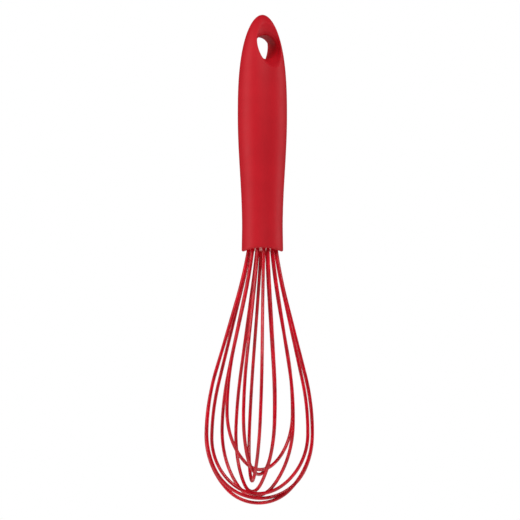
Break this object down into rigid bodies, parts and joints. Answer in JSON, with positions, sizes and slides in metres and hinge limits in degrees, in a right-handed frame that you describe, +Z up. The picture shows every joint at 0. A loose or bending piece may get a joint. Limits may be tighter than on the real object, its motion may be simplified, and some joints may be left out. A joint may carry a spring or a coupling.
{
  "type": "balloon whisk",
  "caption": "Balloon whisk with a soft-touch red handle, a hanging eye and silicone-sleeved wire loops of different depths.",
  "frame": {"origin": "middle of the hanging eye's bore, on the handle's centre line", "axes": "+Z up along the handle, away from the wires; -Y towards the front; the eye's axis is level and turned 29 degrees from -Y towards +X"},
  "size_m": [0.0662, 0.0645, 0.3001],
  "materials": {
    "soft_grip": "matt soft-touch silicone rubber",
    "core_plastic": "moulded nylon",
    "cast_resin": "cast epoxy resin",
    "seat_plastic": "moulded silicone, satin",
    "spring_wire": "drawn stainless spring wire",
    "silicone_sleeve": "satin silicone"
  },
  "bodies": {
    "root": {"grip": "soft_grip", "handle_core": "core_plastic", "potting": "cast_resin", "wire_seat": "seat_plastic", "wire_1": "spring_wire", "wire_2": "spring_wire", "wire_3": "spring_wire", "wire_4": "spring_wire", "wire_5": "spring_wire", "wire_6": "spring_wire", "wire_7": "spring_wire", "wire_8": "spring_wire", "sleeve_1": "silicone_sleeve", "sleeve_2": "silicone_sleeve", "sleeve_3": "silicone_sleeve", "sleeve_4": "silicone_sleeve", "sleeve_5": "silicone_sleeve", "sleeve_6": "silicone_sleeve", "sleeve_7": "silicone_sleeve", "sleeve_8": "silicone_sleeve"}
  },
  "joints": []
}
